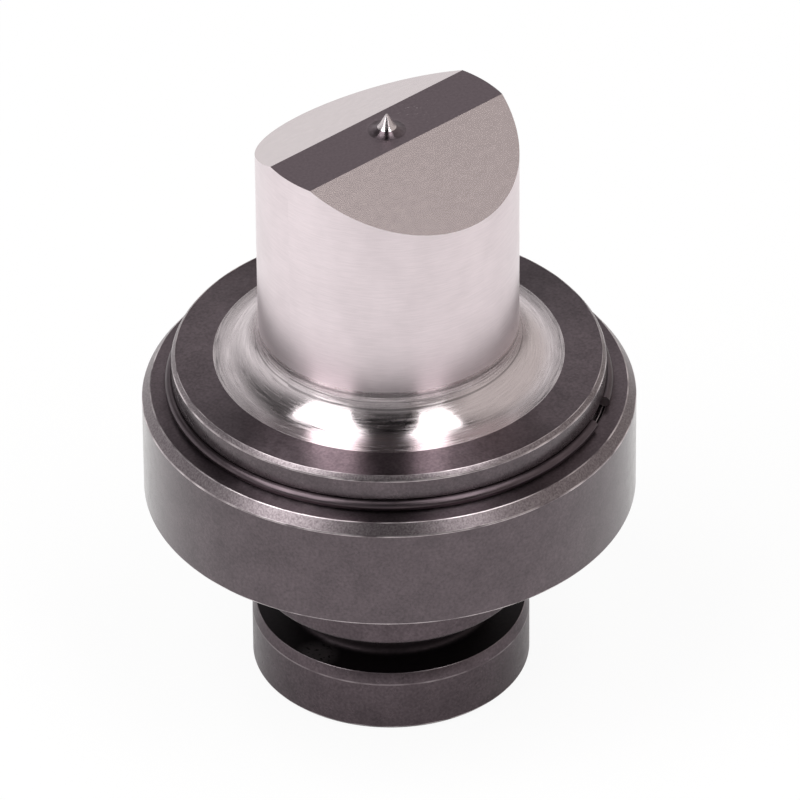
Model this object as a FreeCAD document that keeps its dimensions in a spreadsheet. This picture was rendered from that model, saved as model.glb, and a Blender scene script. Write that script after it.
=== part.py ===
"""A turret punch tool: a one-piece round punch, its collar and the wire ring that retains the collar.

The tool stands on the end of its shank. The punch's axis is Z, the origin is the centre of the shank's
end face, and the ridge of the roof-shaped cutting end runs along X. Millimetres.
"""

import FreeCAD, Part
import os
import Sketcher

doc = FreeCAD.newDocument("turret_punch_tool")

# Driving sizes, in millimetres and degrees, listed from the shank's end up to the nib.
SIZES = {
    # shank
    "shank_diameter": 34.1,
    "end_chamfer": 0.5,
    "head_height": 8.35,
    "head_lead_height": 1.5,
    "head_lead_width": 0.45,
    "grip_groove_width": 4.4,
    "grip_groove_depth": 4.55,
    "grip_groove_corner": 0.8,
    "guide_edge_break": 0.5,
    "guide_length": 12.45,
    "relief_width": 1.6,
    "relief_depth": 0.3,
    # lathe centre in the shank's end
    "centre_mouth_diameter": 6.7,
    "centre_pilot_diameter": 3.15,
    "centre_pilot_length": 3.2,
    "centre_angle": 60,
    # flange
    "flange_diameter": 52.7,
    "ledge_width": 1.6,
    "ledge_height": 5.5,
    "flange_rise": 4.75,
    "flange_chamfer_width": 0.5,
    "flange_chamfer_height": 0.65,
    "edge_break": 0.25,
    # point
    "point_diameter": 31.6,
    "point_length": 32.0,
    "root_fillet": 4.5,
    "ridge_land_width": 7.05,
    "shear_angle": 24.6,
    "facet_overlap": 0.6,
    # nib
    "nib_height": 2.3,
    "nib_tip_diameter": 0.4,
    "nib_flare_radius": 4.1,
    # collar
    "collar_wall": 2.0,
    "collar_height": 14.5,
    "collar_setback": 0.2,
    "collar_chamfer_width": 1.0,
    "collar_chamfer_height": 1.35,
    "running_clearance": 0.05,
    "end_float": 0.05,
    # retaining ring
    "wire_diameter": 1.4,
    "ring_groove_depth": 0.55,
    "ring_groove_ease": 0.1,
    "ring_gap": 11,
    "ring_gap_bearing": -59,
}
WIRE_FLATS = 8
CLOSE = 1e-4

sizes = doc.addObject("Spreadsheet::Sheet", "sizes")
for row, (alias, value) in enumerate(SIZES.items(), start=1):
    sizes.set(f"A{row}", alias)
    sizes.set(f"B{row}", str(value))
    sizes.setAlias(f"B{row}", alias)
doc.recompute()

# Radii and levels that several pieces share, each worked out once from the driving sizes.
SHANK_R = "sizes.shank_diameter / 2"
FLANGE_R = "sizes.flange_diameter / 2"
POINT_R = "sizes.point_diameter / 2"
LEDGE_R = f"({FLANGE_R} + sizes.ledge_width)"
NECK_R = f"({SHANK_R} - sizes.grip_groove_depth)"
COLLAR_BORE_R = f"({FLANGE_R} + sizes.running_clearance)"
COLLAR_SEAT_R = f"({LEDGE_R} + sizes.running_clearance)"
COLLAR_R = f"({COLLAR_SEAT_R} + sizes.collar_wall)"
HEAD_TOP = "sizes.head_height"
GUIDE_FOOT = f"({HEAD_TOP} + sizes.grip_groove_width)"
FLANGE_BACK = f"({GUIDE_FOOT} + sizes.guide_length)"
LEDGE_TOP = f"({FLANGE_BACK} + sizes.ledge_height)"
COLLAR_FOOT = f"({FLANGE_BACK} + sizes.collar_setback)"
COLLAR_TOP = f"({COLLAR_FOOT} + sizes.collar_height)"
SHOULDER = f"({COLLAR_TOP} + sizes.flange_rise)"
RIDGE = f"({SHOULDER} + sizes.point_length)"
WIRE_R = "sizes.wire_diameter / 2"
RING_FLOOR_R = f"({FLANGE_R} - sizes.ring_groove_depth)"
RING_LEVEL = f"({COLLAR_TOP} + sizes.end_float + {WIRE_R})"


def size_of(expression):
    """The present value of an expression of the sheet's sizes."""
    return float(sizes.evalExpression(expression))


def origin_item(body, role):
    """A plane or axis of the body's own origin."""
    return next(item for item in body.Origin.OriginFeatures if item.Role == role)


def sketch_on(body, role, name):
    sketch = body.newObject("Sketcher::SketchObject", name)
    sketch.AttachmentSupport = [(origin_item(body, role), "")]
    sketch.MapMode = "FlatFace"
    return sketch


def pin_point(sketch, geometry, point, across, up):
    """Holds a point of the sketch at two distances from the sketch's origin."""
    for kind, axis, expression in (("DistanceX", -2, across), ("DistanceY", -1, up)):
        if expression == "0":
            sketch.addConstraint(Sketcher.Constraint("PointOnObject", geometry, point, axis))
            continue
        distance = Sketcher.Constraint(kind, -1, 1, geometry, point, size_of(expression))
        index = sketch.addConstraint(distance)
        sketch.setExpression(f"Constraints[{index}]", expression)


def hollow_arc(start, end, radius):
    """The arc that leaves start bending to its right and reaches end, as a sketch arc from end to start."""
    chord = end - start
    right = FreeCAD.Vector(chord.y, -chord.x, 0).normalize()
    centre = (start + end) / 2 + right * (radius ** 2 - (chord.Length / 2) ** 2) ** 0.5
    circle = Part.Circle(centre, FreeCAD.Vector(0, 0, 1), radius)
    return Part.ArcOfCircle(circle, circle.parameter(end), circle.parameter(start))


def draw_outline(sketch, corners):
    """Draws a closed outline through the corners, each given as two expressions of the sizes.

    A corner with a third expression starts a hollow arc of that radius; the others start straight lines.
    """
    spots = [FreeCAD.Vector(size_of(corner[0]), size_of(corner[1]), 0) for corner in corners]
    ends = []
    for i, corner in enumerate(corners):
        start, end = spots[i], spots[(i + 1) % len(spots)]
        if len(corner) == 3:
            sketch.addGeometry(hollow_arc(start, end, size_of(corner[2])), False)
            ends.append((2, 1))
        else:
            sketch.addGeometry(Part.LineSegment(start, end), False)
            ends.append((1, 2))
    for i, corner in enumerate(corners):
        after = (i + 1) % len(corners)
        sketch.addConstraint(Sketcher.Constraint("Coincident", i, ends[i][1], after, ends[after][0]))
        pin_point(sketch, i, ends[i][0], corner[0], corner[1])
        if len(corner) == 3:
            index = sketch.addConstraint(Sketcher.Constraint("Radius", i, size_of(corner[2])))
            sketch.setExpression(f"Constraints[{index}]", corner[2])


def turned_outline(body, kind, name, corners):
    """Turns an outline about Z: kind is Revolution to add metal, Groove to cut it away."""
    sketch = sketch_on(body, "XZ_Plane", f"{name}_outline")
    draw_outline(sketch, corners)
    feature = body.newObject(f"PartDesign::{kind}", name)
    feature.Profile = sketch
    feature.ReferenceAxis = (origin_item(body, "Z_Axis"), [""])
    feature.Angle = 360
    doc.recompute()
    return feature


def round_corner(body, name, corner_r, level, radius):
    """Fillets the circular edge of that radius and level on the body's last feature."""
    base = body.Tip
    names = []
    for number, edge in enumerate(base.Shape.Edges, start=1):
        if not isinstance(edge.Curve, Part.Circle):
            continue
        off_radius = abs(edge.Curve.Radius - size_of(corner_r))
        off_level = abs(edge.Curve.Center.z - size_of(level))
        if max(off_radius, off_level) < CLOSE:
            names.append(f"Edge{number}")
    if not names:
        raise RuntimeError(f"{name}: no edge to round")
    fillet = body.newObject("PartDesign::Fillet", name)
    fillet.Base = (base, names)
    fillet.setExpression("Radius", radius)
    doc.recompute()


# The punch: one piece of tool steel, turned, hardened and ground. Its blank is one turned outline from the
# shank's end to the nib, the small hollow-sided cone that finds a centre-punched spot on the work.
def make_punch():
    body = doc.addObject("PartDesign::Body", "punch")
    body.Label = "punch"
    tip_r = "sizes.nib_tip_diameter / 2"
    nib_rise = "(2 * sizes.nib_flare_radius - sizes.nib_height) * sizes.nib_height"
    flare_r = f"{tip_r} + sqrt({nib_rise})"
    turned_outline(body, "Revolution", "blank", [
        ("0", "0"),
        (f"{SHANK_R} - sizes.end_chamfer", "0"),
        (SHANK_R, "sizes.end_chamfer"),
        (SHANK_R, FLANGE_BACK),
        (f"{LEDGE_R} - sizes.edge_break", FLANGE_BACK),
        (LEDGE_R, f"{FLANGE_BACK} + sizes.edge_break"),
        (LEDGE_R, LEDGE_TOP),
        (FLANGE_R, LEDGE_TOP),
        (FLANGE_R, f"{SHOULDER} - sizes.flange_chamfer_height"),
        (f"{FLANGE_R} - sizes.flange_chamfer_width", SHOULDER),
        (POINT_R, SHOULDER),
        (POINT_R, RIDGE),
        (flare_r, RIDGE, "sizes.nib_flare_radius"),
        (tip_r, f"{RIDGE} + sizes.nib_height"),
        ("0", f"{RIDGE} + sizes.nib_height"),
    ])
    cut_shank_details(body)
    cut_ring_groove(body)
    round_corner(body, "root_radius", POINT_R, SHOULDER, "sizes.root_fillet")
    cut_shear_facets(body)
    return body


# The shank's details: the groove that a holder's jaws grip, the undercut in the corner below the flange,
# where the grinding wheel runs out, and the lathe centre in the end face.
def cut_shank_details(body):
    turned_outline(body, "Groove", "grip_groove", [
        (f"{NECK_R} + sizes.grip_groove_corner", HEAD_TOP),
        (f"{SHANK_R} - sizes.head_lead_width", HEAD_TOP),
        (SHANK_R, f"{HEAD_TOP} - sizes.head_lead_height"),
        (f"{SHANK_R} + sizes.edge_break", f"{HEAD_TOP} - sizes.head_lead_height"),
        (f"{SHANK_R} + sizes.edge_break", f"{GUIDE_FOOT} + sizes.guide_edge_break"),
        (SHANK_R, f"{GUIDE_FOOT} + sizes.guide_edge_break"),
        (f"{SHANK_R} - sizes.guide_edge_break", GUIDE_FOOT),
        (f"{NECK_R} + sizes.grip_groove_corner", GUIDE_FOOT),
        (NECK_R, f"{GUIDE_FOOT} - sizes.grip_groove_corner"),
        (NECK_R, f"{HEAD_TOP} + sizes.grip_groove_corner"),
    ])
    wheel_runout = "(sizes.relief_width - sizes.relief_depth)"
    turned_outline(body, "Groove", "grinding_relief", [
        (f"{SHANK_R} - sizes.relief_depth", f"{FLANGE_BACK} - {wheel_runout}"),
        (f"{SHANK_R} + sizes.edge_break",
         f"{FLANGE_BACK} - sizes.relief_width - sizes.edge_break"),
        (f"{SHANK_R} + sizes.relief_width + sizes.edge_break",
         f"{FLANGE_BACK} - sizes.edge_break"),
        (f"{SHANK_R} + {wheel_runout}", f"{FLANGE_BACK} + sizes.relief_depth"),
        (f"{SHANK_R} - sizes.relief_depth", f"{FLANGE_BACK} + sizes.relief_depth"),
    ])
    mouth_r = "sizes.centre_mouth_diameter / 2"
    pilot_r = "sizes.centre_pilot_diameter / 2"
    cone_depth = f"({mouth_r} - {pilot_r}) / tan(sizes.centre_angle / 2)"
    drill_depth = f"{cone_depth} + sizes.centre_pilot_length"
    turned_outline(body, "Groove", "lathe_centre", [
        ("0", "0"),
        (mouth_r, "0"),
        (pilot_r, cone_depth),
        (pilot_r, drill_depth),
        ("0", f"{drill_depth} + {pilot_r} * tan(sizes.centre_angle / 2)"),
    ])


# The square groove in the flange's wall, a little wider than the wire that snaps into it.
def cut_ring_groove(body):
    half_width = "(sizes.wire_diameter + sizes.ring_groove_ease) / 2"
    turned_outline(body, "Groove", "ring_groove", [
        (RING_FLOOR_R, f"{RING_LEVEL} - {half_width}"),
        (f"{FLANGE_R} + sizes.edge_break", f"{RING_LEVEL} - {half_width}"),
        (f"{FLANGE_R} + sizes.edge_break", f"{RING_LEVEL} + {half_width}"),
        (RING_FLOOR_R, f"{RING_LEVEL} + {half_width}"),
    ])


# The roof shear: two sloping facets leave a flat land along X, so that the punch cuts from the ridge out.
# Each is ground a little past the land's edge, where it shaves the foot of the nib's flare.
def cut_shear_facets(body):
    land_edge = "(sizes.ridge_land_width / 2)"
    inside = f"({land_edge} - sizes.facet_overlap)"
    outside = f"({POINT_R} + sizes.root_fillet)"
    rise = "sizes.facet_overlap * tan(sizes.shear_angle)"
    fall = f"({outside} - {land_edge}) * tan(sizes.shear_angle)"
    above = f"{RIDGE} + 2 * sizes.nib_height"
    sketch = sketch_on(body, "YZ_Plane", "shear_facet_outline")
    draw_outline(sketch, [
        (inside, f"{RIDGE} + {rise}"),
        (outside, f"{RIDGE} - {fall}"),
        (outside, above),
        (inside, above),
    ])
    facet = body.newObject("PartDesign::Pocket", "shear_facet")
    facet.Profile = sketch
    facet.Type = "ThroughAll"
    facet.SideType = "Symmetric"
    doc.recompute()
    pair = body.newObject("PartDesign::PolarPattern", "shear_facets")
    pair.Originals = [facet]
    pair.Axis = (origin_item(body, "Z_Axis"), [""])
    pair.Angle = 360
    pair.Occurrences = 2
    body.Tip = pair
    doc.recompute()


# The collar: a turned ring that slips over the flange from the point's side, sits on the flange's ledge
# and fills out the tool to the bore of its station.
def make_collar():
    body = doc.addObject("PartDesign::Body", "collar")
    body.Label = "collar"
    seat = f"({LEDGE_TOP} + sizes.end_float)"
    turned_outline(body, "Revolution", "collar_ring", [
        (f"{COLLAR_SEAT_R} + sizes.edge_break", COLLAR_FOOT),
        (f"{COLLAR_R} - sizes.edge_break", COLLAR_FOOT),
        (COLLAR_R, f"{COLLAR_FOOT} + sizes.edge_break"),
        (COLLAR_R, f"{COLLAR_TOP} - sizes.collar_chamfer_height"),
        (f"{COLLAR_R} - sizes.collar_chamfer_width", COLLAR_TOP),
        (f"{COLLAR_BORE_R} + sizes.edge_break", COLLAR_TOP),
        (COLLAR_BORE_R, f"{COLLAR_TOP} - sizes.edge_break"),
        (COLLAR_BORE_R, seat),
        (COLLAR_SEAT_R, seat),
        (COLLAR_SEAT_R, f"{COLLAR_FOOT} + sizes.edge_break"),
    ])
    return body


# The retaining ring: round spring wire bent to an open ring, gripping the floor of the flange's groove
# just above the collar. The wire's section is drawn with flats, which keeps the ring light, and one of
# them lies on the groove's floor. The ring's gap is turned to its bearing about Z.
def make_retaining_ring():
    body = doc.addObject("PartDesign::Body", "retaining_ring")
    body.Label = "retaining_ring"
    corner_r = f"({WIRE_R} / cos(180 / {WIRE_FLATS}))"
    bearings = [f"(360 * {flat + 0.5} / {WIRE_FLATS})" for flat in range(WIRE_FLATS)]
    wire = turned_outline(body, "Revolution", "wire", [
        (f"{RING_FLOOR_R} + {WIRE_R} + {corner_r} * cos({bearing})",
         f"{RING_LEVEL} + {corner_r} * sin({bearing})")
        for bearing in bearings
    ])
    wire.Midplane = True
    wire.setExpression("Angle", "360 - sizes.ring_gap")
    gap_bearing = size_of("sizes.ring_gap_bearing")
    turned = FreeCAD.Rotation(FreeCAD.Vector(0, 0, 1), gap_bearing - 180)
    body.Placement = FreeCAD.Placement(FreeCAD.Vector(0, 0, 0), turned)
    return body


pieces = [make_punch(), make_collar(), make_retaining_ring()]
doc.recompute()

for item in doc.Objects:
    if {"Invalid", "Error"} & set(item.State):
        raise RuntimeError(f"{item.Label} failed: {item.State}")
for piece in pieces:
    if piece.Shape.isNull() or not piece.Shape.isValid() or len(piece.Shape.Solids) != 1:
        raise RuntimeError(f"{piece.Label} isn't one valid solid")

os.makedirs("parts", exist_ok=True)
for piece in pieces:
    piece.Shape.exportStep(f"parts/{piece.Label}.step")
    box = piece.Shape.BoundBox
    print(f"{piece.Label}: {piece.Shape.Volume:.0f} mm3, z {box.ZMin:.2f} to {box.ZMax:.2f}, "
          f"width {box.XLength:.2f}")
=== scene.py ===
import math

import bmesh
import bpy
import numpy as np
from mathutils import Matrix, Vector


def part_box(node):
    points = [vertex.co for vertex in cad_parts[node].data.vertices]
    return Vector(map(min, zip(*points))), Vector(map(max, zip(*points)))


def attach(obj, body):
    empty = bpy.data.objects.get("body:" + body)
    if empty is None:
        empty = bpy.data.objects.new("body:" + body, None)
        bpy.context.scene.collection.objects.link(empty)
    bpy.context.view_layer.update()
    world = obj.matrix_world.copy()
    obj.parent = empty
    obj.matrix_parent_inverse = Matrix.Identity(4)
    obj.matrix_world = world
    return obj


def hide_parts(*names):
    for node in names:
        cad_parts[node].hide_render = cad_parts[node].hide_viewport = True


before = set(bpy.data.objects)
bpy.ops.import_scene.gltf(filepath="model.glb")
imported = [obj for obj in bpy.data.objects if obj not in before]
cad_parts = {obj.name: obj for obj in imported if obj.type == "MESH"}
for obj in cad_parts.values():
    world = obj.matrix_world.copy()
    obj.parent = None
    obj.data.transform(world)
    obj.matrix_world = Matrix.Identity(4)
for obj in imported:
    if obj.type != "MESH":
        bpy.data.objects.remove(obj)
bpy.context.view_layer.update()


# The punch: one piece of tool steel, turned with its shank, flange and nib, then hardened and blackened all
# over. The point, its root and the two slopes of its roof are ground bright after that, and the flat ridge
# between the slopes stays black.
MM = 0.001
FLATS_AROUND = 512

# The shank, in millimetres from its end face: the lathe's centre in it, the head, the neck and the guide.
CENTRE_R = 3.35
PILOT_R = 1.575
PILOT_FOOT = 3.074
PILOT_TOP = 6.274
PILOT_TIP = 7.184
SHANK_R = 17.05
SHANK_CHAMFER = 0.5
HEAD_LEAD = (0.45, 1.5)
HEAD_TOP = 8.35
NECK_R = 12.5
NECK_CORNER = 0.8
GUIDE_FOOT = 12.75

# The flange: a relief where the shank meets its back, the ledge below the collar, the wire's groove.
FLANGE_BACK = 25.2
RELIEF = 0.3
RELIEF_REACH = 1.6
LEDGE_R = 27.95
LEDGE_TOP = 30.7
LEDGE_CHAMFER = 0.25
FLANGE_R = 26.35
FLANGE_CHAMFER = (0.5, 0.65)
GROOVE_R = 25.8
GROOVE_FOOT = 39.9
GROOVE_TOP = 41.4
SHOULDER = 44.65

# The root, whose foot flattens into the shoulder before the quarter round is done, and the point.
BRIGHT_R = 21.28
ROOT_R = 4.5
POINT_R = 15.8
FOOT_ANGLE = math.radians(65)
FOOT_R = POINT_R + ROOT_R * (1 - math.cos(FOOT_ANGLE))
FOOT_RISE = ROOT_R * (1 - math.sin(FOOT_ANGLE))
FOOT_CURVE = (BRIGHT_R - FOOT_R) / FOOT_RISE / math.tan(FOOT_ANGLE)
RIPPLE = (0.008, 1.35)
RIPPLE_MIDDLE = 20
RIPPLE_SPREAD = 12
FAINT_RIPPLE = (0.0007, 2.3)
WALL_LEVELS = (SHOULDER + ROOT_R + 0.4, 56, 62, 68)

# The roof and its nib: the flare rises slowly from the ridge to the foot of the cone.
NIB_RISE = 2.3
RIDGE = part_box("punch")[1].z / MM - NIB_RISE
RIDGE_HALF = 3.525
SLOPE = math.radians(24.6)
SPARED_R = 2.6
FLARE_R = 3.88
FLARE_CURVE = 5
DULL_FLARE_R = 2.4
BRIGHT_FLARE_R = 1.15
NIB_BASE = (0.95, 0.72)
NIB_TIP_R = 0.12
NIB_CROWN = 0.02

# The punch's finishes, in the order of its materials.
BLACK, EDGE, ROOT, WALL, SLOPES, LAND, NIB, RIM, NECK, CHAMFER, DULL_EDGE, SHANK = range(12)


def eased(corners, steps=3):
    """Rounds the corners of an outline that have an ease: each is (radius, height, finish, ease, edge)."""
    points = []
    for i, corner in enumerate(corners):
        r, z, finish = corner[:3]
        if len(corner) == 3:
            points.append((r, z, finish))
            continue
        ease, edge = corner[3:]
        here = Vector((r, z))
        before = Vector(corners[i - 1][:2]) - here
        after = Vector(corners[(i + 1) % len(corners)][:2]) - here
        start = here + before.normalized() * min(ease, before.length / 2)
        end = here + after.normalized() * min(ease, after.length / 2)
        for step in range(steps + 1):
            t = step / steps
            spot = start * (1 - t) ** 2 + here * 2 * t * (1 - t) + end * t ** 2
            points.append((spot.x, spot.y, finish if step == steps else edge))
    return points


def corner_arc(centre, radius, start, end, steps, finish, ripple=None):
    """Points of a round corner, from one angle to another in degrees, closer where a tool left a ripple."""
    points = []
    for step in range(steps + 1):
        t = step / steps
        angle = start + (end - start) * (t * (1.6 - 0.6 * t) if ripple else t)
        reach = radius + (ripple(angle) if ripple else 0)
        across = centre[0] + reach * math.cos(math.radians(angle))
        up = centre[1] + reach * math.sin(math.radians(angle))
        points.append((across, up, finish))
    return points


def turned(name, outline, closed=False):
    """A mesh turned about Z from an outline in millimetres; each strip takes its first point's finish."""
    angles = np.arange(FLATS_AROUND) * 2 * math.pi / FLATS_AROUND
    spots, rings = [], []
    for r, z, _ in outline:
        if r < 1e-6:
            rings.append([len(spots)] * FLATS_AROUND)
            spots.append((0, 0, z * MM))
            continue
        rings.append(list(range(len(spots), len(spots) + FLATS_AROUND)))
        spots += [(r * MM * math.cos(a), r * MM * math.sin(a), z * MM) for a in angles]
    faces, finishes = [], []
    strips = len(outline) if closed else len(outline) - 1
    for i in range(strips):
        low, high = rings[i], rings[(i + 1) % len(outline)]
        for j in range(FLATS_AROUND):
            k = (j + 1) % FLATS_AROUND
            faces.append(list(dict.fromkeys((low[j], low[k], high[k], high[j]))))
            finishes.append(outline[i][2])
    mesh = bpy.data.meshes.new(name)
    mesh.from_pydata(spots, [], faces)
    mesh.polygons.foreach_set("material_index", finishes)
    mesh.update()
    return mesh


def mark_edges(bm, degrees=34):
    """Smooth faces, with the sharper edges and those of the ground slopes kept crisp."""
    bm.normal_update()
    for face in bm.faces:
        face.smooth = True
    for edge in bm.edges:
        finishes = {face.material_index for face in edge.link_faces}
        ground = SLOPES in finishes and len(finishes) > 1
        edge.smooth = edge.is_manifold and not ground and edge.calc_face_angle() < math.radians(degrees)


def piece_from(name, mesh, materials):
    """An object of the finished mesh, its normals led by the broad faces."""
    piece = bpy.data.objects.new(name, mesh)
    bpy.context.scene.collection.objects.link(piece)
    for material in materials:
        mesh.materials.append(material)
    led = piece.modifiers.new("broad faces lead", "WEIGHTED_NORMAL")
    led.keep_sharp = True
    led.weight = 90
    return piece


def root_ripple(angle):
    """The rings that the finishing tool left: deepest where the root runs up into the point."""
    up = angle - 180
    near_wall = math.exp(-((up - RIPPLE_MIDDLE) / RIPPLE_SPREAD) ** 2)
    depth, rate = RIPPLE
    faint_depth, faint_rate = FAINT_RIPPLE
    return depth * near_wall * math.sin(up * rate) + faint_depth * math.sin(up * faint_rate)


def nib_flare(steps=30, cone_steps=6):
    """From the ridge inwards: the shallow flare round the nib, then the cone up to its tip."""
    points = []
    base_r, base_rise = NIB_BASE
    for step in range(steps + 1):
        r = FLARE_R - (FLARE_R - base_r) * step / steps
        rise = base_rise * ((FLARE_R - r) / (FLARE_R - base_r)) ** FLARE_CURVE
        finish = LAND if r > DULL_FLARE_R else RIM if r > BRIGHT_FLARE_R else NIB
        points.append((r, RIDGE + rise, finish))
    for step in range(1, cone_steps + 1):
        t = step / cone_steps
        rise = base_rise + (NIB_RISE - NIB_CROWN - base_rise) * t
        points.append((base_r + (NIB_TIP_R - base_r) * t, RIDGE + rise, NIB))
    return points


def run_out(steps=16):
    """The foot of the root, which flattens slowly into the shoulder."""
    points = []
    for step in range(steps):
        t = step / steps
        points.append((BRIGHT_R - (BRIGHT_R - FOOT_R) * t, SHOULDER + FOOT_RISE * t ** FOOT_CURVE, ROOT))
    return points


# Each corner gives its radius, height and the finish that follows it; a broken edge adds how much is taken
# off and the finish of the break.
punch_outline = eased([
    (0, PILOT_TIP, SHANK),
    (PILOT_R, PILOT_TOP, SHANK),
    (PILOT_R, PILOT_FOOT, SHANK),
    (CENTRE_R, 0, SHANK, 0.12, EDGE),
    (SHANK_R - SHANK_CHAMFER, 0, SHANK, 0.1, EDGE),
    (SHANK_R, SHANK_CHAMFER, SHANK, 0.1, EDGE),
    (SHANK_R, HEAD_TOP - HEAD_LEAD[1], SHANK, 0.1, DULL_EDGE),
    (SHANK_R - HEAD_LEAD[0], HEAD_TOP, NECK, 0.08, DULL_EDGE),
])
punch_outline += corner_arc((NECK_R + NECK_CORNER, HEAD_TOP + NECK_CORNER), NECK_CORNER, 270, 180, 6, NECK)
punch_outline += corner_arc((NECK_R + NECK_CORNER, GUIDE_FOOT - NECK_CORNER), NECK_CORNER, 180, 90, 6, NECK)
punch_outline += eased([
    (NECK_R + NECK_CORNER + 0.4, GUIDE_FOOT, NECK),
    (SHANK_R - SHANK_CHAMFER, GUIDE_FOOT, NECK, 0.1, NECK),
    (SHANK_R, GUIDE_FOOT + SHANK_CHAMFER, SHANK, 0.3, SHANK),
    (SHANK_R, FLANGE_BACK - RELIEF_REACH, BLACK, 0.05, BLACK),
    (SHANK_R - RELIEF, FLANGE_BACK - RELIEF_REACH + RELIEF, BLACK),
    (SHANK_R - RELIEF, FLANGE_BACK + RELIEF, BLACK),
    (SHANK_R + RELIEF_REACH - RELIEF, FLANGE_BACK + RELIEF, BLACK),
    (SHANK_R + RELIEF_REACH, FLANGE_BACK, BLACK),
    (LEDGE_R - LEDGE_CHAMFER, FLANGE_BACK, BLACK, 0.08, EDGE),
    (LEDGE_R, FLANGE_BACK + LEDGE_CHAMFER, BLACK, 0.08, EDGE),
    (LEDGE_R, LEDGE_TOP, BLACK, 0.08, EDGE),
    (FLANGE_R, LEDGE_TOP, BLACK),
    (FLANGE_R, GROOVE_FOOT, BLACK, 0.06, EDGE),
    (GROOVE_R, GROOVE_FOOT, BLACK),
    (GROOVE_R, GROOVE_TOP, BLACK),
    (FLANGE_R, GROOVE_TOP, BLACK, 0.08, EDGE),
    (FLANGE_R, SHOULDER - FLANGE_CHAMFER[1], CHAMFER, 0.13, EDGE),
    (FLANGE_R - FLANGE_CHAMFER[0], SHOULDER, RIM, 0.12, EDGE),
])
punch_outline += run_out()
punch_outline += corner_arc((POINT_R + ROOT_R, SHOULDER + ROOT_R), ROOT_R, 245, 180, 42, ROOT, root_ripple)
punch_outline += [(POINT_R, level, WALL) for level in WALL_LEVELS]
punch_outline += [(POINT_R, RIDGE, LAND)] + nib_flare() + [(0, RIDGE + NIB_RISE, NIB)]


def grind_slope(bm, side):
    """Grinds one slope of the roof: all above its plane goes, and the flat that is left is filled.

    The parts are kept in a dict, which has a fixed order, so each run lists the mesh alike.
    """
    middle = [v for v in bm.verts if v.co.z > RIDGE * MM and v.co.xy.length < SPARED_R * MM]
    spared = {face for vert in middle for face in vert.link_faces}
    faces = [face for face in bm.faces if face not in spared]
    around_them = dict.fromkeys(part for face in faces for part in list(face.edges) + list(face.verts))
    normal = Vector((0, side * math.sin(SLOPE), math.cos(SLOPE)))
    edge_of_ridge = Vector((0, side * RIDGE_HALF * MM, RIDGE * MM))
    cut = bmesh.ops.bisect_plane(
        bm, geom=faces + list(around_them), dist=1e-8,
        plane_co=edge_of_ridge, plane_no=normal, clear_outer=True)
    rim = [e for e in cut["geom_cut"] if isinstance(e, bmesh.types.BMEdge) and e.is_boundary]
    made = bmesh.ops.edgeloop_fill(bm, edges=rim, mat_nr=SLOPES)
    for face in made["faces"]:
        face.normal_update()
        if face.normal.dot(normal) < 0:
            face.normal_flip()


punch_mesh = turned("punch", punch_outline)
bm = bmesh.new()
bm.from_mesh(punch_mesh)
grind_slope(bm, -1)
grind_slope(bm, 1)
mark_edges(bm)
bm.to_mesh(punch_mesh)
bm.free()


class Bench:
    """Puts nodes together in one node tree."""

    def __init__(self, tree):
        self.tree = tree

    def feed(self, socket, value):
        """Links an output to a socket, or sets the socket to a plain value."""
        if isinstance(value, bpy.types.NodeSocket):
            self.tree.links.new(value, socket)
        else:
            socket.default_value = value

    def math(self, operation, *values):
        node = self.tree.nodes.new("ShaderNodeMath")
        node.operation = operation
        for socket, value in zip(node.inputs, values):
            self.feed(socket, value)
        return node.outputs[0]

    def between(self, fac, low, high, from_low=0.3, from_high=0.7):
        """fac spread from its usual range to low..high."""
        node = self.tree.nodes.new("ShaderNodeMapRange")
        for socket, value in zip(node.inputs, (fac, from_low, from_high, low, high)):
            self.feed(socket, value)
        return node.outputs[0]

    def mix(self, fac, one, other):
        node = self.tree.nodes.new("ShaderNodeMix")
        node.data_type = "RGBA"
        self.feed(node.inputs["Factor"], fac)
        self.feed(node.inputs[6], one)
        self.feed(node.inputs[7], other)
        return node.outputs[2]

    def tint(self, colour, *factors):
        """colour made lighter or darker by each factor in turn."""
        level = factors[0]
        for factor in factors[1:]:
            level = self.math("MULTIPLY", level, factor)
        node = self.tree.nodes.new("ShaderNodeVectorMath")
        node.operation = "SCALE"
        self.feed(node.inputs["Vector"], colour)
        self.feed(node.inputs["Scale"], level)
        return node.outputs["Vector"]


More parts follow.
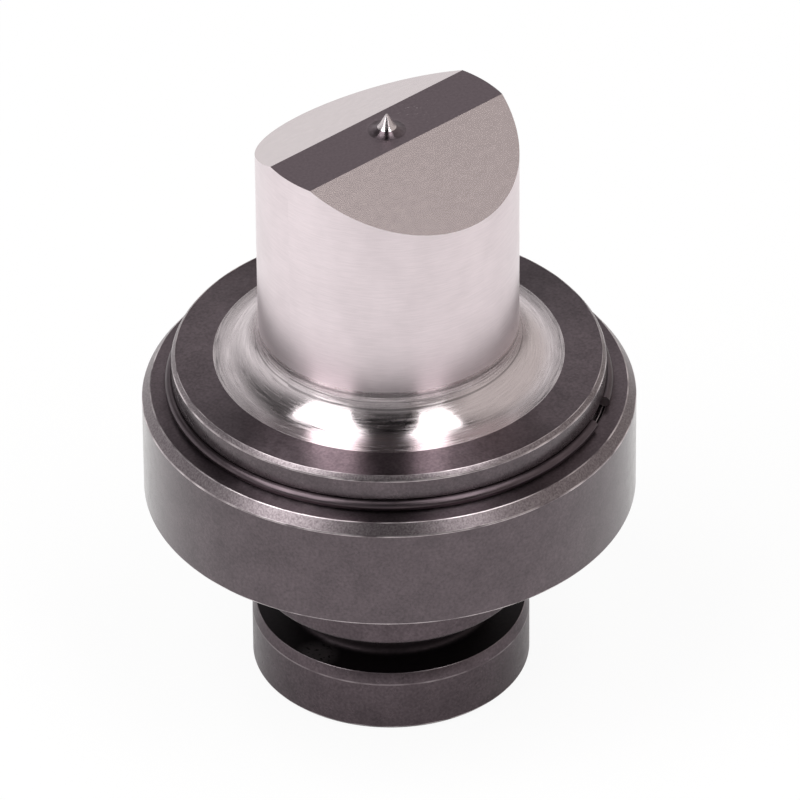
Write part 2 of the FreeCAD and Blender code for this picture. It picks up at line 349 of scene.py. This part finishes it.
class Steel(Bench):
    """A steel finish put together from nodes around one shader."""

    def __init__(self, name, roughness, anisotropy=0.0):
        self.material = bpy.data.materials.new(name)
        self.material.use_nodes = True
        super().__init__(self.material.node_tree)
        self.shader = self.tree.nodes["Principled BSDF"]
        self.shader.inputs["Metallic"].default_value = 1.0
        self.shader.inputs["Roughness"].default_value = roughness
        self.place = self.tree.nodes.new("ShaderNodeTexCoord").outputs["Object"]
        if anisotropy:
            self.shader.inputs["Anisotropic"].default_value = anisotropy
            self.shader.inputs["Anisotropic Rotation"].default_value = 0.25
            tangent = self.tree.nodes.new("ShaderNodeTangent")
            tangent.direction_type = "RADIAL"
            tangent.axis = "Z"
            self.tree.links.new(tangent.outputs["Tangent"], self.shader.inputs["Tangent"])

    def lathe_place(self, along=1.0):
        """The place round the lathe's axis: how far out, a little of the way round, and how far up."""
        apart = self.tree.nodes.new("ShaderNodeSeparateXYZ")
        self.feed(apart.inputs[0], self.place)
        x, y, z = apart.outputs
        out = self.math("SQRT", self.math("ADD", self.math("MULTIPLY", x, x), self.math("MULTIPLY", y, y)))
        round_it = self.math("MULTIPLY", self.math("ARCTAN2", y, x), along * MM)
        together = self.tree.nodes.new("ShaderNodeCombineXYZ")
        for socket, value in zip(together.inputs, (out, round_it, z)):
            self.feed(socket, value)
        return together.outputs[0]

    def grain(self, size, place=None, detail=3.0, stretch=(1, 1, 1)):
        """Noise whose spots are about size millimetres across."""
        spread = self.tree.nodes.new("ShaderNodeMapping")
        spread.inputs["Scale"].default_value = [s / (size * MM) for s in stretch]
        self.feed(spread.inputs["Vector"], place or self.place)
        noise = self.tree.nodes.new("ShaderNodeTexNoise")
        noise.inputs["Scale"].default_value = 1.0
        noise.inputs["Detail"].default_value = detail
        self.feed(noise.inputs["Vector"], spread.outputs["Vector"])
        return noise.outputs["Fac"]

    def bump(self, height, depth):
        """A relief of that depth in millimetres."""
        node = self.tree.nodes.new("ShaderNodeBump")
        node.inputs["Strength"].default_value = 1.0
        node.inputs["Distance"].default_value = depth * MM
        self.feed(node.inputs["Height"], height)
        self.tree.links.new(node.outputs["Normal"], self.shader.inputs["Normal"])

    def finish(self, colour, roughness=None):
        self.feed(self.shader.inputs["Base Color"], colour)
        if roughness is not None:
            self.feed(self.shader.inputs["Roughness"], roughness)
        return self.material


BLACK_OXIDE = (0.090, 0.0705, 0.0785)
BARE_STEEL = (0.68, 0.61, 0.625)
GROUND_STEEL = (0.735, 0.655, 0.68)
SLOPE_STEEL = (0.735, 0.64, 0.65)
# Between these heights the root's turning lines are painted darker, a painted reflection of their ripples.
LINES_BETWEEN = (47.3, 49.0)
SCRATCHES_AT = (5.2, 0.8, RIDGE)
# The centre of a paler spot on the head's shoulder, where bare steel is mixed into the oxide.
PALE_SPOT_AT = (-15.2, -3.4, HEAD_TOP)


def blackened(name, roughness=0.28, anisotropy=0.0, paleness=1.0, oil=0.5):
    """Black oxide, oiled or dry: a thin, slightly brown skin with fine speckle and cloudy patches."""
    steel = Steel(name, roughness, anisotropy)
    steel.shader.inputs["Coat Weight"].default_value = oil
    steel.shader.inputs["Coat Roughness"].default_value = 0.16
    speckles = steel.between(steel.grain(0.35), 0.8, 1.2)
    clouds = steel.between(steel.grain(3.5, detail=3.0), 0.88, 1.12)
    steel.bump(steel.grain(0.45, detail=2.0), 0.004)
    rough = steel.between(steel.grain(1.2), roughness - 0.04, roughness + 0.04)
    return steel.finish(steel.tint(BLACK_OXIDE, speckles, clouds, paleness), rough)


def blemish(steel, spot, reach, grain, low):
    """Where bare steel is mixed in near one spot: noise above a level, fading out within reach millimetres.
    """
    away = steel.tree.nodes.new("ShaderNodeVectorMath")
    away.operation = "DISTANCE"
    steel.feed(away.inputs[0], steel.place)
    away.inputs[1].default_value = [c * MM for c in spot]
    near = steel.between(away.outputs["Value"], 1.0, 0.0, 0.4 * reach * MM, reach * MM)
    return steel.math("MULTIPLY", near, steel.between(grain, 0.0, 1.0, low, low + 0.1))


def scratched_ridge(name):
    """The ridge, which keeps its oxide, with small scratches beside the nib."""
    steel = Steel(name, 0.42)
    speckles = steel.between(steel.grain(0.35), 0.9, 1.1)
    steel.bump(steel.grain(0.45, detail=2.0), 0.003)
    oxide = steel.tint(BLACK_OXIDE, speckles, 2.3)
    nicks = blemish(steel, SCRATCHES_AT, 3.4, steel.grain(0.5, stretch=(1, 2.2, 1)), 0.64)
    return steel.finish(steel.mix(steel.math("MULTIPLY", nicks, 0.5), oxide, (*BARE_STEEL, 1)))


def neck_with_painted_shade(name):
    """The neck, which no tool touches: a dull oxide, darkened to 0.3–0.4 of its colour as painted shade in
    the groove between the head and the guide, under the collar, with one paler spot on the head's shoulder
    where bare steel is mixed in.
    """
    steel = Steel(name, 0.5)
    # The oxide darkened to 0.3–0.4 here is painted shade, for the groove under the collar.
    oxide = steel.tint(BLACK_OXIDE, steel.between(steel.grain(0.5), 0.3, 0.4))
    # One paler spot on the head's shoulder, where bare steel is mixed into the oxide.
    pale_spot = blemish(steel, PALE_SPOT_AT, 3.0, steel.grain(0.5, detail=5.0), 0.33)
    return steel.finish(steel.mix(steel.math("MULTIPLY", pale_spot, 0.24), oxide, (*BARE_STEEL, 1)))


def worn_edge(name, bare=0.9):
    """A blackened edge, rubbed bare in beads by handling."""
    steel = Steel(name, 0.3)
    rubbed = steel.between(steel.grain(3.2, detail=6.0), 0.1 * bare, bare, 0.34, 0.66)
    return steel.finish(steel.mix(rubbed, (*BLACK_OXIDE, 1), (*BARE_STEEL, 1)))


def rubbed_chamfer(name, bare):
    """A chamfer whose oxide is rubbed thin, so that steel shows through it in fine grains."""
    steel = Steel(name, 0.34)
    through = steel.between(steel.grain(0.22, detail=3.0), 0.5 * bare, 1.5 * bare, 0.36, 0.64)
    steel.bump(steel.grain(0.3), 0.002)
    return steel.finish(steel.mix(through, (*BLACK_OXIDE, 1), (*BARE_STEEL, 1)))


def turning_lines_with_painted_reflection(steel, low, high):
    """Darker rings of one tone all the way round, between two heights in millimetres: real turning lines,
    whose dark look is a painted reflection of their ripples in the colour.
    """
    apart = steel.tree.nodes.new("ShaderNodeSeparateXYZ")
    steel.feed(apart.inputs[0], steel.place)
    height = apart.outputs[2]
    above = steel.between(height, 0.0, 1.0, (low - 0.5) * MM, low * MM)
    below = steel.between(height, 1.0, 0.0, high * MM, (high + 0.3) * MM)
    rings = steel.grain(0.34, steel.lathe_place(0.03), detail=1.0)
    here = steel.math("MULTIPLY", above, below)
    dark = steel.math("MULTIPLY", here, steel.between(rings, 0.45, 0.0, 0.42, 0.5))
    return steel.math("SUBTRACT", 1.0, dark)


def turned_bright(name):
    """The root, turned bright: fine rings catch the light in streaks across them."""
    steel = Steel(name, 0.2, 1.0)
    rings = steel.grain(0.15, steel.lathe_place(0.7), detail=2.0)
    steel.bump(rings, 0.0007)
    rough = steel.between(steel.grain(0.2, steel.lathe_place(1.1)), 0.12, 0.31)
    tone = steel.between(rings, 0.92, 1.05)
    # The darker rings near the top of the root are a painted reflection of the turning lines' ripples.
    return steel.finish(steel.tint(BARE_STEEL, tone, turning_lines_with_painted_reflection(steel, *LINES_BETWEEN)), rough)


def ground_wall(name):
    """The point, ground on a cylindrical grinder: hair lines run round it."""
    steel = Steel(name, 0.3, 0.7)
    lines = steel.grain(0.13, steel.lathe_place(1.0), detail=3.0)
    steel.bump(lines, 0.0008)
    clouds = steel.between(steel.grain(5.0, steel.lathe_place(24.0), detail=2.0), 0.97, 1.03)
    return steel.finish(steel.tint(GROUND_STEEL, steel.between(lines, 0.955, 1.04), clouds))


def ground_slopes(name):
    """The slopes, ground flat by a cup wheel: a close, matt grain."""
    steel = Steel(name, 0.25)
    grain = steel.grain(0.6, detail=4.0, stretch=(0.45, 1, 1))
    steel.bump(grain, 0.0005)
    return steel.finish(steel.tint(SLOPE_STEEL, steel.between(grain, 0.79, 0.85)))


black = blackened("blackened steel")
black_edge = worn_edge("blackened steel worn at the edge")
black_land = scratched_ridge("blackened ridge")
black_rim = blackened("blackened shoulder", 0.32, 0.96, paleness=1.55, oil=0.0)
black_neck_painted_shade = neck_with_painted_shade("blackened neck with painted shade")
black_shank = blackened("blackened shank", 0.3, oil=0.1)
dull_edge = worn_edge("blackened steel dulled at the edge", 0.3)
flange_chamfer = rubbed_chamfer("rubbed flange chamfer", 0.2)
bright_root = turned_bright("turned bright root")
ground_point = ground_wall("ground point")
ground_roof = ground_slopes("ground slopes")
bright_nib = turned_bright("bright nib")

punch = piece_from("punch", punch_mesh, [
    black, black_edge, bright_root, ground_point, ground_roof, black_land, bright_nib, black_rim,
    black_neck_painted_shade, flange_chamfer, dull_edge, black_shank])
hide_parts("punch")
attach(punch, "punch_body")


# The collar: a turned and blackened steel ring that slips over the flange, sits on its ledge and turns
# freely there. Its outside is ground to fit the station's bore; its edges are broken and rubbed bare.
COLLAR_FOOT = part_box("collar")[0].z / MM
COLLAR_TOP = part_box("collar")[1].z / MM
COLLAR_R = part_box("collar")[1].x / MM
RUNNING_FIT = 0.05
COLLAR_BORE_R = FLANGE_R + RUNNING_FIT
COLLAR_SEAT_R = LEDGE_R + RUNNING_FIT
COLLAR_SEAT = LEDGE_TOP + RUNNING_FIT
COLLAR_BREAK = 0.25
COLLAR_LEAD = (1.0, 1.35)

# The collar's finishes are BLACK and EDGE too, and two of its own.
COLLAR_CHAMFER, COLLAR_FACE = 2, 3
collar_outline = eased([
    (COLLAR_SEAT_R + COLLAR_BREAK, COLLAR_FOOT, BLACK, 0.08, EDGE),
    (COLLAR_R - COLLAR_BREAK, COLLAR_FOOT, BLACK, 0.08, EDGE),
    (COLLAR_R, COLLAR_FOOT + COLLAR_BREAK, BLACK, 0.08, EDGE),
    (COLLAR_R, COLLAR_TOP - COLLAR_LEAD[1], COLLAR_CHAMFER, 0.13, EDGE),
    (COLLAR_R - COLLAR_LEAD[0], COLLAR_TOP, COLLAR_FACE, 0.1, EDGE),
    (COLLAR_BORE_R + COLLAR_BREAK, COLLAR_TOP, BLACK, 0.08, EDGE),
    (COLLAR_BORE_R, COLLAR_TOP - COLLAR_BREAK, BLACK, 0.08, EDGE),
    (COLLAR_BORE_R, COLLAR_SEAT, BLACK, 0.05, BLACK),
    (COLLAR_SEAT_R, COLLAR_SEAT, BLACK),
    (COLLAR_SEAT_R, COLLAR_FOOT + COLLAR_BREAK, BLACK, 0.08, EDGE),
])
collar_mesh = turned("collar", collar_outline, closed=True)
bm = bmesh.new()
bm.from_mesh(collar_mesh)
mark_edges(bm)
bm.to_mesh(collar_mesh)
bm.free()

black_collar = blackened("blackened collar", 0.22)
collar_edge = worn_edge("worn collar edge")
collar_chamfer = rubbed_chamfer("rubbed collar chamfer", 0.16)
collar = piece_from("collar", collar_mesh, [black_collar, collar_edge, collar_chamfer, black_rim])
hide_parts("collar")
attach(collar, "collar_body")


# The retaining ring: spring wire, bent to an open ring and snapped into the flange's groove just above the
# collar, which it keeps from sliding off. Its two ends stand a few millimetres apart and are cut square.
WIRE_R = 0.7
RING_R = GROOVE_R + WIRE_R
RING_LEVEL = (GROOVE_FOOT + GROOVE_TOP) / 2
RING_GAP = 11.0
GAP_BEARING = -59.0

WIRE, WIRE_END = 0, 1


def open_ring(name, steps=420, flats=20):
    """The wire's mesh: a round section carried round from one end of the gap to the other."""
    spots, faces = [], []
    sweep = 360 - RING_GAP
    start = GAP_BEARING + RING_GAP / 2
    for step in range(steps + 1):
        a = math.radians(start + sweep * step / steps)
        for flat in range(flats):
            b = 2 * math.pi * flat / flats
            r = RING_R + WIRE_R * math.cos(b)
            z = RING_LEVEL + WIRE_R * math.sin(b)
            spots.append((r * MM * math.cos(a), r * MM * math.sin(a), z * MM))
    for step in range(steps):
        for flat in range(flats):
            here = step * flats + flat
            over = step * flats + (flat + 1) % flats
            faces.append((here, here + flats, over + flats, over))
    faces.append(tuple(range(flats)))
    last = steps * flats
    faces.append(tuple(reversed(range(last, last + flats))))
    mesh = bpy.data.meshes.new(name)
    mesh.from_pydata(spots, [], faces)
    mesh.polygons.foreach_set("material_index", [WIRE] * (len(faces) - 2) + [WIRE_END] * 2)
    return mesh


def spring_wire(name):
    """Drawn spring wire: darkened, with faint lines drawn along it."""
    steel = Steel(name, 0.3)
    lines = steel.grain(0.4, steel.lathe_place(4.0), detail=2.0)
    return steel.finish(steel.tint(BLACK_OXIDE, steel.between(lines, 0.8, 1.2)))


ring_mesh = open_ring("retaining ring")
bm = bmesh.new()
bm.from_mesh(ring_mesh)
bmesh.ops.recalc_face_normals(bm, faces=bm.faces)
mark_edges(bm)
bm.to_mesh(ring_mesh)
bm.free()

drawn_wire = spring_wire("drawn spring wire")
cut_end = worn_edge("cut wire end")
retaining_ring = piece_from("retaining_ring", ring_mesh, [drawn_wire, cut_end])
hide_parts("retaining_ring")
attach(retaining_ring, "punch_body")


# The studio: a plain pale floor in a soft white tent, two softboxes overhead, left and right of the camera,
# and the camera a little over a metre away, looking down on the tool.
AIM = Vector((0, 0, 0.0373))
CAMERA_ROUND = math.radians(48.2)
CAMERA_DOWN = math.radians(35.2)
LOOK = Vector((
    math.cos(CAMERA_ROUND) * math.cos(CAMERA_DOWN),
    math.sin(CAMERA_ROUND) * math.cos(CAMERA_DOWN),
    -math.sin(CAMERA_DOWN)))
CAMERA_RIGHT = Vector((math.sin(CAMERA_ROUND), -math.cos(CAMERA_ROUND), 0))
TOWARDS_CAMERA = Vector((-LOOK.x, -LOOK.y, 0)).normalized()
DISTANCE = 1.2138
SIDE_STEP = 0.00131
ROLL = math.radians(0.45)

# The floor lies a hair below the tool. The camera sees most of it as plain white, and the metal a part.
FLOOR_REACH = 0.22
FLOOR_DROP = 0.00002
FLOOR_SHOWN = 0.92
FLOOR_REFLECTED = 0.25


def seen_share(bench, reflected=0.0):
    """1 for rays that the camera sends, a given share for reflected ones, 0 for those that carry light."""
    path = bench.tree.nodes.new("ShaderNodeLightPath").outputs
    share = bench.math("MAXIMUM", path["Is Camera Ray"], path["Is Transmission Ray"])
    if reflected:
        share = bench.math("MAXIMUM", share, bench.math("MULTIPLY", path["Is Glossy Ray"], reflected))
    return share


def pale_floor():
    """White paper: the camera sees it mostly plain white, the metal in part, with part of its shadows."""
    material = bpy.data.materials.new("pale floor")
    material.use_nodes = True
    bench = Bench(material.node_tree)
    nodes = bench.tree.nodes
    nodes.clear()
    paper = nodes.new("ShaderNodeBsdfDiffuse")
    paper.inputs["Color"].default_value = (0.93, 0.92, 0.92, 1)
    white = nodes.new("ShaderNodeEmission")
    mix = nodes.new("ShaderNodeMixShader")
    place = nodes.new("ShaderNodeTexCoord").outputs["Object"]
    reach = nodes.new("ShaderNodeVectorMath")
    reach.operation = "LENGTH"
    bench.feed(reach.inputs[0], place)
    shown = bench.between(reach.outputs["Value"], FLOOR_SHOWN, 1.0, 0.05, FLOOR_REACH * 0.9)
    bench.feed(mix.inputs[0], bench.math("MULTIPLY", seen_share(bench, FLOOR_REFLECTED), shown))
    bench.feed(mix.inputs[1], paper.outputs[0])
    bench.feed(mix.inputs[2], white.outputs[0])
    bench.feed(nodes.new("ShaderNodeOutputMaterial").inputs["Surface"], mix.outputs[0])
    return material


floor_mesh = bpy.data.meshes.new("floor")
rim = [(FLOOR_REACH * math.cos(math.radians(a)), FLOOR_REACH * math.sin(math.radians(a)), 0)
       for a in range(0, 360, 3)]
floor_mesh.from_pydata(rim, [], [tuple(range(len(rim)))])
floor = bpy.data.objects.new("floor", floor_mesh)
floor.location.z = -FLOOR_DROP
bpy.context.scene.collection.objects.link(floor)
floor_mesh.materials.append(pale_floor())


def softbox(name, left_right, front_back, height, size, strength, splay):
    """A rectangular lamp that hangs overhead and faces the tool; places are in metres from the tool."""
    lamp = bpy.data.lights.new(name, "AREA")
    lamp.shape = "RECTANGLE"
    lamp.size, lamp.size_y = size
    lamp.energy = 4 * strength * size[0] * size[1]
    lamp_object = bpy.data.objects.new(name, lamp)
    spot = CAMERA_RIGHT * left_right + TOWARDS_CAMERA * front_back + Vector((0, 0, height))
    facing = (spot - AIM).normalized()
    up = facing.cross(CAMERA_RIGHT).normalized()
    across = up.cross(facing)
    turned_in = Matrix((across, up, facing)).transposed() @ Matrix.Rotation(math.radians(splay), 3, "Z")
    lamp_object.matrix_world = Matrix.Translation(spot) @ turned_in.to_4x4()
    bpy.context.scene.collection.objects.link(lamp_object)


softbox("softbox left", left_right=-0.60, front_back=0.33, height=0.87,
        size=(0.60, 1.26), strength=3.45, splay=-25)
softbox("softbox right", left_right=0.385, front_back=0.31, height=0.87,
        size=(0.33, 1.22), strength=2.95, splay=18)

# The room beyond: a white tent to the back, dimmer on the right, dark above the horizon on the left, dark
# overhead, and dark in front, where the camera stands in the tent's slit.
SLIT_OVERHEAD = 0.1
SLIT_IN_FRONT = 0.25
SLIT_LEAST = 0.06
world = bpy.data.worlds.new("studio")
bpy.context.scene.world = world
world.use_nodes = True
bench = Bench(world.node_tree)
bench.tree.nodes.clear()
way = bench.tree.nodes.new("ShaderNodeTexCoord").outputs["Generated"]


def along(direction):
    """How far the ray's direction goes along another, from -1 to 1."""
    node = bench.tree.nodes.new("ShaderNodeVectorMath")
    node.operation = "DOT_PRODUCT"
    bench.feed(node.inputs[0], way)
    node.inputs[1].default_value = direction
    return node.outputs["Value"]


up = bench.between(along(Vector((0, 0, 1))), 0.0, 1.0, -1.0, 1.0)
front = along(TOWARDS_CAMERA)
side = along(CAMERA_RIGHT)


def tent_wall(*levels, tint=(1, 1, 1)):
    """A wall of the tent, with its level at each height; -1 is straight down and 1 straight up."""
    ramp = bench.tree.nodes.new("ShaderNodeValToRGB")
    bench.feed(ramp.inputs[0], up)
    stops = ramp.color_ramp.elements
    while len(stops) < len(levels):
        stops.new(0.5)
    for stop, (height, level) in zip(stops, levels):
        stop.position = (height + 1) / 2
        stop.color = (*(level * part for part in tint), 1)
    return ramp.outputs["Color"]


back_wall = tent_wall((-0.1, 0.95), (0.3, 1.0), (0.62, 0.95), (0.73, 0.35), (0.78, 0.05), (1, 0.02))
left_wall = tent_wall((-0.05, 1.0), (0.17, 0.95), (0.32, 0.6), (0.46, 0.22), (0.62, 0.1), (1, 0.02))
right_wall = tent_wall((-0.1, 0.6), (0.1, 0.7), (0.78, 0.68), (0.86, 0.52), (0.91, 0.12), (1, 0.02),
                       tint=(1, 0.95, 0.91))
walls = bench.mix(bench.between(side, 1.0, 0.0, -0.55, -0.2), back_wall, left_wall)
walls = bench.mix(bench.between(side, 0.0, 1.0, 0.15, 0.4), walls, right_wall)
half_slit = bench.math(
    "ADD", bench.math("MULTIPLY", up, SLIT_OVERHEAD), bench.math("MULTIPLY", front, SLIT_IN_FRONT))
half_slit = bench.math("MAXIMUM", half_slit, SLIT_LEAST)
past_slit = bench.math("SUBTRACT", bench.math("ABSOLUTE", side), half_slit)
past_slit = bench.between(past_slit, 0.03, 1.0, -0.02, 0.04)
slit_foot = bench.between(along(Vector((0, 0, 1))), 1.0, 0.0, 0.25, 0.45)
slit = bench.math("MAXIMUM", past_slit, slit_foot)
front_fade = bench.between(front, 1.0, 0.4, 0.35, 0.75)
tent = bench.tree.nodes.new("ShaderNodeBackground")
bench.feed(tent.inputs["Color"], bench.tint(walls, slit, front_fade))
backdrop = bench.tree.nodes.new("ShaderNodeBackground")
backdrop.inputs["Color"].default_value = (1, 1, 1, 1)
mix = bench.tree.nodes.new("ShaderNodeMixShader")
bench.feed(mix.inputs[0], seen_share(bench))
bench.feed(mix.inputs[1], tent.outputs[0])
bench.feed(mix.inputs[2], backdrop.outputs[0])
bench.feed(bench.tree.nodes.new("ShaderNodeOutputWorld").inputs["Surface"], mix.outputs[0])

camera_data = bpy.data.cameras.new("camera")
camera_data.lens = 450
camera_data.sensor_width = 36
camera_data.clip_start = 0.05
camera_data.clip_end = 20
camera = bpy.data.objects.new("camera", camera_data)
spot = AIM - LOOK * DISTANCE + CAMERA_RIGHT * SIDE_STEP
turn = (-LOOK).to_track_quat("Z", "Y").to_matrix().to_4x4() @ Matrix.Rotation(-ROLL, 4, "Z")
camera.matrix_world = Matrix.Translation(spot) @ turn
bpy.context.scene.collection.objects.link(camera)
bpy.context.scene.camera = camera
bpy.context.scene.view_settings.view_transform = "Standard"
